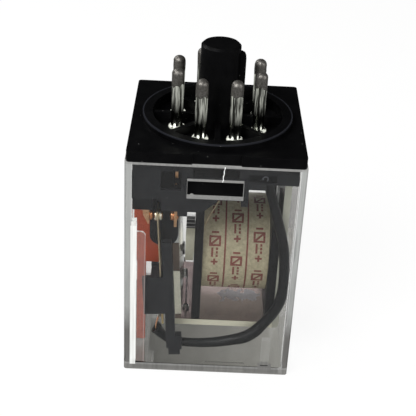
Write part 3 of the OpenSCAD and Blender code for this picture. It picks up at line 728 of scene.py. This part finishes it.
# CAD nodes that keep their shape: material and edge rounding
KEPT = {
    "base": ("base", 0.16), "cover": ("cover", 0.12), "yoke": ("yoke", 0.12), "bobbin": ("moulding", 0.15),
    "core": ("core", 0.15), "coil_winding": ("wire", 0.05), "coil_terminals": ("dark_steel", 0.05),
    "armature": ("armature", 0.1), "residual_shim": ("shim", 0.03), "contact_carrier": ("carrier", 0.15),
    "carrier_rivets": ("dark_steel", 0.1), "spring_stud": ("bright_wire", 0.08),
    "indicator": ("flag", 0.12), "indicator_pin": ("bright_wire", 0.06),
}
for each_side in SIDES:
    KEPT[f"moving_spring_{each_side}"] = ("leaf", 0.04)
    KEPT[f"common_tab_{each_side}"] = ("brass", 0.05)
    KEPT[f"nc_arm_{each_side}"] = ("bronze", 0.06)
    KEPT[f"no_arm_{each_side}"] = ("bronze", 0.06)
for node_name, (material_name, edge) in KEPT.items():
    kept = NODE[node_name]
    kept.data.materials.clear()
    kept.data.materials.append(M[material_name])
    smooth_by_angle(kept)
    add_bevel(kept, edge)


# -------- pins

def pin_outline(z_low, z_tip):
    """Tube wall with a flared collar at the pocket floor."""
    r = MOUNTS["plug_pins"]["dims"]["stud_r_mm"]
    bore, root, collar, pocket = 0.8, 0.95, 1.62, -1.0
    top = z_tip - 1.0
    foot = [(bore, z_low), (root, z_low), (root, pocket - 0.02)]
    flare = [(collar - 0.16, 0), (collar, 0.08), (collar, 0.2), (collar - 0.06, 0.34), (collar - 0.18, 0.46),
             (r, 0.55)]
    stem = [(r - 0.02, 1.5), (r - 0.03, 4), (r - 0.02, 6.5), (r, 7.4)]
    end = [(r, top - 0.05), (r - 0.06, top), (bore, top)]
    return foot + [(radius, pocket + height) for radius, height in flare] + stem + end


def solder_cap(seed):
    """A lumpy coat over the top third of a pin, drawn round Z."""
    segments, rings = 36, 22
    low, tip, thick, dome_height = 7.9, 11.4, 1.21, 1.15
    verts = []
    for i in range(rings + 1):
        t = i / rings
        for a in circle(segments):
            around = Vector((math.cos(a), math.sin(a), 0))
            start = low + 0.9 * noise.noise(around * 0.9 + Vector((seed, 0, 5)))
            z = start + (tip - start) * t
            dome = max(0.0, (z - (tip - dome_height)) / dome_height)
            r = thick * math.sqrt(max(0.0, 1 - dome ** 2.2))
            r -= 0.06 * max(0.0, 1 - t * 7)
            lump = noise.noise(around * 1.6 + Vector((0, seed, z * 0.9))) * 0.035
            fine = noise.noise(around * 5 + Vector((seed, 0, z * 3.1))) * 0.02
            r = 0 if i == rings else r * (1 + lump + fine)
            verts.append(around * r + Vector((0, 0, z if r else tip)))
    return verts, ring_faces(rings + 1, segments) + [tuple(range(segments))]


def build_pins():
    segments = 56
    outline = pin_outline(box_mm("pin_1")[0][2], box_mm("pin_solder")[1][2])
    caps = []
    for number in range(1, MOUNTS["plug_pins"]["dims"]["count"] + 1):
        node = f"pin_{number}"
        place = middle(node)
        at = Matrix.Translation((place[0], place[1], 0))
        verts, faces = lathe(outline, segments)
        # the outline's last point joins its first
        faces += band_faces(0, (len(outline) - 1) * segments, segments)
        pin = new_object(f"contact_pin_{number}", *moved((verts, faces), at), M["nickel"])
        attach(pin, node)
        caps.append(moved(solder_cap(number * 3.7), at))
    cap = new_object("solder_caps", *joined(caps), M["solder"])
    attach(cap, "pin_solder")


# -------- tape

TAPE_LOW, TAPE_HIGH = box_mm("coil_tape")
TAPE_AXIS = middle("coil_tape")
TAPE_RADIUS = (TAPE_HIGH[2] - TAPE_LOW[2]) / 2
TAPE_TURN = 2 * math.pi * TAPE_RADIUS
TAPE_BAND = (TAPE_HIGH[0] - TAPE_LOW[0]) / 3  # width of a printed band


def round_tape(radius, angle, x):
    """A point round the tape's axis."""
    return Vector((x, TAPE_AXIS[1] - radius * math.cos(angle), TAPE_AXIS[2] + radius * math.sin(angle)))


def tape_point(angle, x, lift=0.0):
    """A point on the tape. The wrap grows by one tape thickness over a turn."""
    lap = 0.05 * (angle / (2 * math.pi) % 1)
    wave = 0.035 * noise.noise(Vector((x * 0.35, math.cos(angle) * 2.5, math.sin(angle) * 2.5)))
    return round_tape(TAPE_RADIUS - 0.06 + lap + wave + lift, angle, x)


def build_tape():
    """A wrap with a lapped end."""
    around, along = 144, 28
    inner_radius = TAPE_RADIUS - 0.6
    lap_angle = 2.4
    stations = [TAPE_LOW[0] + (TAPE_HIGH[0] - TAPE_LOW[0]) * i / along for i in range(along + 1)]
    verts = [tape_point(2 * math.pi * min(s / around, 0.9999) + lap_angle, x)
             for x in stations for s in range(around + 1)]
    verts += [round_tape(inner_radius, 2 * math.pi * s / around + lap_angle, x)
              for x in (stations[-1], stations[0]) for s in range(around + 1)]
    row = around + 1
    # first corners of the last outer row, then of the two inner rows
    last = along * row
    inner_last = last + row
    inner_first = inner_last + row
    faces = ring_faces(along + 1, row, closed_ring=False)
    for s in range(around):
        for a, b in ((last, inner_last), (inner_last, inner_first), (inner_first, 0)):
            faces.append((a + s, a + s + 1, b + s + 1, b + s))
    # the step where the tape's end laps over itself
    for i in range(along):
        faces.append((i * row, (i + 1) * row, (i + 1) * row + around, i * row + around))
    wrap = new_object("tape_wrap", verts, faces, M["tape"])
    smooth_by_angle(wrap, 40)
    attach(wrap, "coil_tape")


def printed_bar(start, end, pen):
    """A printed bar between two points given as (distance round the tape, distance along it)."""
    run = Vector((end[0] - start[0], end[1] - start[1]))
    side = Vector((-run.y, run.x)).normalized() * pen / 2
    steps = max(1, math.ceil(abs(run.x) / 0.3))
    verts = []
    for lift in (0.004, 0.022):
        for k in range(steps + 1):
            at = Vector(start) + run * k / steps
            verts += [tape_point(point.x / TAPE_RADIUS, point.y, lift) for point in (at - side, at + side)]
    top = (steps + 1) * 2
    faces = []
    for k in range(steps):
        a = 2 * k
        faces += [(a, a + 1, a + 3, a + 2), (top + a, top + a + 2, top + a + 3, top + a + 1),
                  (a, a + 2, top + a + 2, top + a), (a + 1, top + a + 1, top + a + 3, a + 3)]
    faces += [(0, top, top + 1, 1), (top - 2, top - 1, 2 * top - 1, 2 * top - 2)]
    return verts, faces


def printed_marks(s, x):
    """Plus, direct-current sign, coil symbol and minus, one after another round the tape."""
    pen = 0.42
    plus = [((-0.7, 0), (0.7, 0)), ((0, -0.7), (0, 0.7))]
    direct = [((-1, -0.5), (1, -0.5))] + [((d - 0.27, 0.45), (d + 0.27, 0.45)) for d in (-0.75, 0, 0.75)]
    coil = [((-0.9, -1), (0.9, -1)), ((-0.9, 1), (0.9, 1)), ((-0.9, -1.2), (-0.9, 1.2)),
            ((0.9, -1.2), (0.9, 1.2)), ((-0.8, -0.9), (0.8, 0.9))]
    minus = [((0, -0.75), (0, 0.75))]
    return [printed_bar((s + offset + a[0], x + a[1]), (s + offset + b[0], x + b[1]), pen)
            for offset, symbol in ((0.8, plus), (2.9, direct), (5.3, coil), (7.1, minus)) for a, b in symbol]


def build_tape_print():
    """Three bands of generic marks with a line between each two."""
    repeats = 7
    lines = []
    for k in (1, 2):
        x = TAPE_LOW[0] + TAPE_BAND * k
        lines.append(printed_bar((0, x), (TAPE_TURN, x), 0.34))
    marks = []
    for k, shift in enumerate((0.0, 0.55, 0.12)):
        x = TAPE_LOW[0] + TAPE_BAND * (k + 0.5) + 0.15
        for n in range(repeats):
            marks += printed_marks(TAPE_TURN / repeats * (n + shift), x)
    for name, parts in (("tape_lines", lines), ("tape_marks", marks)):
        attach(new_object(name, *joined(parts), M["ink"], smooth=False))


# -------- coil leads, contacts and return spring

def build_coil_leads():
    """Thin bowed wires from the winding to the base's recesses."""
    steps = 24
    low, high = box_mm("coil_leads")
    parts = []
    for side in SIDES.values():
        start = Vector((low[0] + 0.02, side * 10.8, low[2] + 0.1))
        end = Vector((high[0] - 0.1, side * 13.6, high[2]))
        path = []
        for k in range(steps + 1):
            t = k / steps
            bow = 0.7 * math.sin(math.pi * t) - 0.3 * math.sin(2 * math.pi * t)
            path.append(start.lerp(end, t) + Vector((bow, 0, 0)))
        parts.append(sweep(path, 0.11, 12))
    wires = new_object("coil_lead_wires", *joined(parts), M["enamel"])
    attach(wires, "coil_leads")


def contact_head(radius, height):
    """Outline of a contact head: straight rim, then a shallow dome."""
    steps = 9
    rim = height * 0.42
    points = [(0, 0), (radius * 0.96, 0), (radius, height * 0.08), (radius, rim)]
    for k in range(1, steps + 1):
        a = math.pi / 2 * k / steps
        points.append((radius * math.cos(a) ** 0.8 if k < steps else 0, rim + (height - rim) * math.sin(a)))
    return points


def contact(name, node, body, material, tilt, heads):
    """A rivet along X through a spring or arm. heads are (direction, start, radius, height)."""
    parts = []
    for direction, start, radius, height in heads:
        at = Matrix.Translation((start, 0, 0)) @ Matrix.Rotation(direction * math.pi / 2, 4, "Y")
        parts.append(moved(lathe(contact_head(radius, height), 40), at))
    at = Matrix.Translation(middle(node)) @ Matrix.Rotation(-tilt, 4, "Y")
    obj = new_object(name, *moved(joined(parts), at), material)
    smooth_by_angle(obj, 50)
    attach(obj, node, body)


def build_contacts():
    """The moving contacts are nc_head high towards the closed contacts and no_head towards the open ones."""
    radius, half_leaf = 1.2, 0.13
    nc_head, no_head = 0.75, 0.9
    # fixed contacts: the way they face, head, then depth, radius and height of the rivet's other end
    fixed = (("nc", 1, nc_head, 0.02, 0.84, 0.25), ("no", -1, no_head, 0.4, 1.02, 0.4))
    centre = (nc_head - no_head) / 2
    for side in SIDES:
        heads = [(1, centre + half_leaf, radius, no_head), (-1, centre - half_leaf, radius, nc_head)]
        contact(f"moving_rivet_{side}", f"moving_contact_{side}", f"{side}_contact_spring", M["silver"],
                TRAVEL, heads)
        for kind, facing, head, end_depth, end_radius, end_height in fixed:
            node = f"{kind}_contact_{side}"
            low, high = box_mm(node)
            half = (high[0] - low[0]) / 2
            heads = [(facing, facing * (half - head), radius, head),
                     (-facing, facing * (end_depth - half), end_radius, end_height)]
            contact(f"{kind}_rivet_{side}", node, "housing", M["copper"], 0, heads)


def build_return_spring():
    """A wire on the yoke with a few tight turns near its top, and a bead of solder at its foot."""
    low, high = box_mm("return_spring")
    wire = 0.18
    x_foot = high[0] - wire
    x_tip = low[0] + wire
    y = (low[1] + high[1]) / 2
    turns, turn_r, pitch, per_turn = 4, 0.5, 0.5, 16
    z_coil = high[2] - wire - turns * pitch - 0.2
    path = [Vector((x_foot, y, low[2] + (z_coil - low[2]) * k / 12)) for k in range(12)]
    for k in range(turns * per_turn + 1):
        a = 2 * math.pi * k / per_turn
        x = x_foot - turn_r + turn_r * math.cos(a)
        path.append(Vector((x, y + turn_r * math.sin(a), z_coil + pitch * k / per_turn)))
    top = path[-1]
    path.append(Vector(((x_tip + top.x) / 2, y - 0.1, top.z + 0.15)))
    path += [Vector((x_tip, y, top.z - 0.2 - 0.5 * k)) for k in range(3)]
    obj = new_object("return_spring_wire", *sweep(path, wire * 0.9, 12), M["bright_wire"])
    attach(obj, "return_spring", "return_wire")
    foot = Vector((x_foot, y, box_mm("spring_stud")[1][2]))
    verts, faces = bead(foot, (0.55, 0.55, 0.5), math.pi / 2, 0, 0.12, 3, (0, 0, 0), 18, 9)
    faces.append(tuple(range(18)))
    attach(new_object("spring_foot_solder", verts, faces, M["solder"]))


# -------- flexible leads

# A lead's centre line in X and Z: a straight at a heading in degrees, then arcs as (turn in degrees, radius)
LEAD_START = (9.5, -4.9)
LEAD_HEADING = -73.6
LEAD_STRAIGHT = 15.1
LEAD_ARCS = ((12, 24.6), (36, 29.7), (39.5, 8.1), (26.2, 26.2), (53.9, 6.9))
# The lead bulges outward in its lower bend: how far, at which length and over what length
LEAD_BULGE = (1.26, 33.5, 6.8)
# Width of the sleeve by share of the way: wide in the lower bend, narrow along the bottom, with a flared end
SLEEVE_WIDTHS = ((0.0, 0.98), (0.2, 1.05), (0.4, 1.15), (0.5, 1.3), (0.6, 1.26), (0.68, 1.05), (0.76, 0.92),
                 (0.88, 0.95), (0.95, 1.1), (1.0, 1.3))


def lead_path(side):
    """Points of a lead's centre line, and its heading at the end."""
    steps = 12
    heading = math.radians(LEAD_HEADING)
    start = Vector((LEAD_START[0], middle(f"lead_sleeve_{side}")[1], LEAD_START[1]))
    ahead = Vector((math.cos(heading), 0, math.sin(heading)))
    path = [start + ahead * LEAD_STRAIGHT * k / steps for k in range(steps + 1)]
    for turn, radius in LEAD_ARCS:
        steps = max(6, int(turn / 3))
        start = path[-1].copy()
        for k in range(1, steps + 1):
            a = heading - math.radians(turn) * k / steps
            bend = Vector((math.sin(heading) - math.sin(a), 0, math.cos(a) - math.cos(heading)))
            path.append(start + radius * bend)
        heading -= math.radians(turn)
    return path, Vector((math.cos(heading), 0, math.sin(heading)))


def bend_lead(path, sign):
    """Moves the points of a lead outward by its bulge, and a little from side to side."""
    bulge, centre, spread = LEAD_BULGE
    last = len(path) - 1
    swing = [path[min(k + 1, last)] - path[max(k - 1, 0)] for k in range(last + 1)]
    length = 0.0
    for k, point in enumerate(path):
        length += swing[k].length / (2 if 0 < k < last else 1)
        out = Vector((-swing[k].z, 0, swing[k].x)).normalized()
        point += out * bulge * math.exp(-((length - centre) / spread) ** 2)
        point.y += 0.12 * math.sin(k * 0.33 + sign) * min(1, k / 6, (last - k) / 6)


def sleeve_width(t):
    for (t0, w0), (t1, w1) in zip(SLEEVE_WIDTHS, SLEEVE_WIDTHS[1:]):
        if t <= t1:
            share = (t - t0) / (t1 - t0)
            return w0 + (w1 - w0) * share * share * (3 - 2 * share)
    return SLEEVE_WIDTHS[-1][1]


def build_leads():
    segments = 28
    slant = -0.45
    for side, sign in SIDES.items():
        node = f"lead_sleeve_{side}"
        path, heading = lead_path(side)
        bend_lead(path, sign)
        radius = box_mm(node)[1][1] - middle(node)[1] - 0.02
        wall = radius * 0.3

        def outer_radius(t):
            return radius * sleeve_width(t) * (1 + 0.02 * math.sin(t * 61 + sign))

        def inner_radius(t):
            return radius * sleeve_width(t) - wall

        outer = sweep(path, outer_radius, segments, cap=False)
        inner = sweep(path, inner_radius, segments, cap=False)
        verts, faces = joined([outer, inner])
        # close the wall at both ends, and cut the lower end at a slant
        lower_end = (len(path) - 1) * segments
        inner_start = len(outer[0])
        for ring in (0, lower_end):
            faces += band_faces(ring, inner_start + ring, segments)
        tip = path[-1]
        across = Vector((-heading.z, 0, heading.x))
        for ring in (lower_end, inner_start + lower_end):
            for s in range(segments):
                verts[ring + s] += heading * (verts[ring + s] - tip).dot(across) * slant
        sleeve = new_object(f"sleeve_{side}", verts, faces, M["sleeve"])
        smooth_by_angle(sleeve, 50)
        attach(sleeve, node)
        build_lead_end(side, path, heading)


def build_lead_end(side, path, heading):
    """Bare strands from the sleeve to a bead of solder on the common tab, bending with the armature."""
    strand_count, steps, spread = 7, 18, 0.35
    tab_low = box_mm(f"common_tab_{side}")[0]
    mouth = path[-1].copy()
    start = mouth - heading * 2.0
    goal = Vector((tab_low[0] - 0.12, mouth.y, tab_low[2] + 1.0))
    pace = 2.2  # a strand reaches the mouth after 1 / pace of its points
    chance = random.Random(5)
    strands = []
    for _ in range(strand_count):
        offset = Vector((0, chance.uniform(-spread, spread), chance.uniform(-spread, spread)))
        line = []
        for i in range(steps + 1):
            t = i / steps
            outside = max(0, t * pace - 1) / (pace - 1)
            point = start.lerp(mouth, t * pace) if t * pace < 1 else mouth.lerp(goal, outside)
            point = point + offset * (0.6 + 0.4 * math.sin(math.pi * t))
            line.append(point + Vector((-0.12 * math.sin(math.pi * outside), 0, 0)))
        strands.append(sweep(line, 0.13, 8))
    ends = new_object(f"lead_strands_{side}", *joined(strands), M["copper"])
    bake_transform(ends, "housing", "armature_set", start=mouth * MM, end=goal * MM)
    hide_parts(f"lead_end_{side}")
    blob = bead(goal + Vector((0, 0, 0.1)), (0.3, 0.75, 0.62), 0, math.pi, 0.25, 2.3, (3, 1, 7), 20, 12)
    attach(new_object(f"tab_solder_{side}", *blob, M["solder"]), body="armature_set")


# -------- details of the base and the cover

def build_recess_arcs():
    """A small raised arc moulded in the right recess of the skirt, front and back, grey as a painted glint of
    light.
    """
    depth, radius, steps = 15.7, 0.5, 14
    for side, sign in SIDES.items():
        path = []
        for k in range(steps + 1):
            a = math.radians(200 - 250 * k / steps)
            path.append(Vector((9.4 + radius * math.cos(a), sign * depth, -4.95 + radius * math.sin(a))))
        arc = new_object(f"recess_arc_{side}", *sweep(path, 0.1, 10), M["arc"])
        attach(arc)


def build_skirt_lips():
    """Moulded lips on the skirt's lower edge, above the coil and beside the open contact, front and back."""
    skirt_middle, half = 15.4, 0.5
    # name, range in X, top and bottom
    lips = (("coil", (6.3, 9.7), -6.9, -7.4), ("contact", (-7.05, -5.15), -12.7, -13.9))
    for side, sign in SIDES.items():
        for name, ends, top, bottom in lips:
            outline = [(-half, top), (half, top), (half, bottom + 0.12), (0.35, bottom), (-0.4, bottom),
                       (-half, bottom + 0.15)]
            verts = [(x, sign * skirt_middle + y, z) for x in ends for y, z in outline]
            count = len(outline)
            faces = band_faces(0, count, count)
            faces += [tuple(reversed(range(count))), tuple(range(count, 2 * count))]
            lip = new_object(f"skirt_lip_{name}_{side}", verts, faces, M["base"], smooth=False)
            add_bevel(lip, 0.05)
            attach(lip)


def build_cover_split():
    """The hair-thin split in the cover between its rim and the front latch window."""
    low, high = box_mm("cover")
    x, top, bottom = 1.6, high[2] - 0.05, -5.5
    face, thickness, steps = low[1] - 0.004, 0.03, 10
    verts = []
    for k in range(steps + 1):
        z = top + (bottom - top) * k / steps
        drift = 0.05 * math.sin(k * 1.7) - 0.3 * k / steps
        width = 0.08 + 0.03 * math.sin(k * 2.3)
        for y in (face, face + thickness):
            verts += [(x + drift - width, y, z), (x + drift + width, y, z)]
    faces = []
    for k in range(steps):
        a, b = 4 * k, 4 * (k + 1)
        faces += [(a + i, a + j, b + j, b + i) for i, j in ((0, 1), (3, 2), (2, 0), (1, 3))]
    faces += [(0, 2, 3, 1), (4 * steps, 4 * steps + 1, 4 * steps + 3, 4 * steps + 2)]
    split = new_object("cover_split", verts, faces, M["split"], smooth=False)
    attach(split)


# -------- light and camera

def build_floor():
    reach = 3000
    corners = [(x, y, 0) for x, y in ((-reach, -reach), (reach, -reach), (reach, reach), (-reach, reach))]
    floor = new_object("floor", corners, [(0, 1, 2, 3)], M["floor"], smooth=False)
    floor.location.z = (CLOSED_END - 0.02) * MM


def build_world():
    """White behind the object, dim all round it in reflections, and an even glow for soft fill."""
    seen_glow, soft_glow, mirrored_glow = 1.04, 0.45, 0.02
    world = bpy.data.worlds.new("studio")
    bpy.context.scene.world = world
    world.use_nodes = True
    tree = world.node_tree
    path = add_node(tree, "LightPath").outputs
    seen_by = {0: path["Is Camera Ray"], 1: path["Is Transmission Ray"]}
    seen = add_node(tree, "Math", seen_by, operation="MAXIMUM").outputs[0]
    unseen = {"Value": path["Is Glossy Ray"], "To Min": soft_glow, "To Max": mirrored_glow}
    glow = add_node(tree, "MapRange", unseen).outputs["Result"]
    strength = add_node(tree, "Mix", {0: seen, 2: glow, 3: seen_glow})
    background = tree.nodes["Background"]
    feed(tree, background.inputs["Strength"], strength.outputs[0])
    feed(tree, background.inputs["Color"], (1, 1, 1))


def build_lights():
    # name, place, target, width, height and power in watts
    lights = (
        ("key_light", (-260, -300, 330), (0, 0, -10), 260, 260, 2.0),
        ("fill_light", (330, -220, 150), (0, 0, -20), 200, 240, 0.5),
        ("rear_light", (-260, 200, 260), (0, 0, -10), 200, 120, 0.4),
    )
    for name, place, target, width, height, power in lights:
        light = bpy.data.lights.new(name, "AREA")
        light.shape = "RECTANGLE"
        light.size = width * MM
        light.size_y = height * MM
        light.energy = power
        obj = bpy.data.objects.new(name, light)
        obj.location = Vector(place) * MM
        obj.rotation_euler = (Vector(target) - Vector(place)).to_track_quat("-Z", "Y").to_euler()
        bpy.context.scene.collection.objects.link(obj)


def build_camera():
    """The viewpoint: in front, raised 30 degrees, turned and rolled a little, and slightly off centre."""
    azimuth, elevation, roll = (math.radians(v) for v in (-1.147, 30.091, 3.149))
    distance, target = 206.36, Vector((0, 0, -20))
    back = Matrix.Rotation(azimuth, 3, "Z") @ Vector((0, -math.cos(elevation), math.sin(elevation)))
    right = (-back).cross(Vector((0, 0, 1))).normalized()
    up = right.cross(-back)
    data = bpy.data.cameras.new("camera")
    data.sensor_width = 36
    data.lens = 84.6987
    data.shift_x = -0.01165
    data.shift_y = -0.01233
    data.clip_start = 0.01
    camera = bpy.data.objects.new("camera", data)
    rotation = Matrix((right, up, back)).transposed() @ Matrix.Rotation(roll, 3, "Z")
    camera.matrix_world = Matrix.Translation((target + back * distance) * MM) @ rotation.to_4x4()
    bpy.context.scene.collection.objects.link(camera)
    bpy.context.scene.camera = camera


build_pins()
build_tape()
build_tape_print()
build_coil_leads()
build_contacts()
build_return_spring()
build_leads()
build_recess_arcs()
build_skirt_lips()
build_cover_split()
build_floor()
build_world()
build_lights()
build_camera()
bpy.context.scene.view_settings.view_transform = "Standard"
bpy.context.scene.cycles.use_denoising = True
bpy.context.scene.cycles.max_bounces = 16
bpy.context.scene.cycles.transmission_bounces = 16
bpy.context.scene.cycles.transparent_max_bounces = 24
